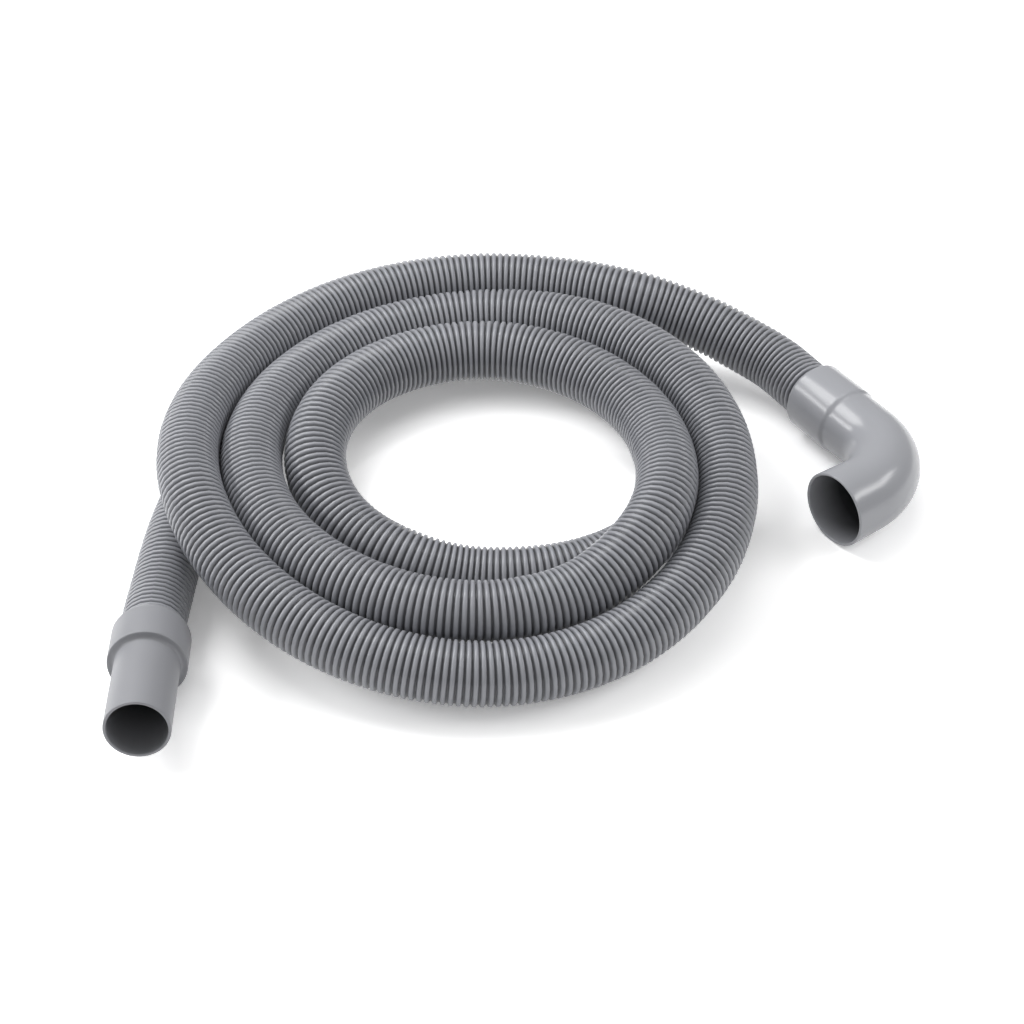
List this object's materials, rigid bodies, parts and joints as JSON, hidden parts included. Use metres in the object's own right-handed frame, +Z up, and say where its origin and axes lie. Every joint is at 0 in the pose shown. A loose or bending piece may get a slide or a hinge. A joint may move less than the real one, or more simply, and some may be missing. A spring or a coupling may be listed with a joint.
{
  "type": "washing machine drain hose",
  "caption": "Coiled corrugated drain hose with a straight stepped cuff on one end and a swept elbow on the other.",
  "frame": {"origin": "on the floor, under the middle of the box that holds the whole coiled hose", "axes": "+Z up; +X from the cuff's side of the coil to the elbow's side; +Y away from both open mouths"},
  "size_m": [0.3582, 0.3191, 0.0575],
  "materials": {
    "hose_plastic": "ribbed, semi-gloss on the crests",
    "cuff_plastic": "satin, moulded",
    "elbow_plastic": "semi-gloss, moulded"
  },
  "bodies": {
    "root": {"corrugated_hose": "hose_plastic", "straight_cuff": "cuff_plastic", "elbow": "elbow_plastic"}
  },
  "joints": []
}
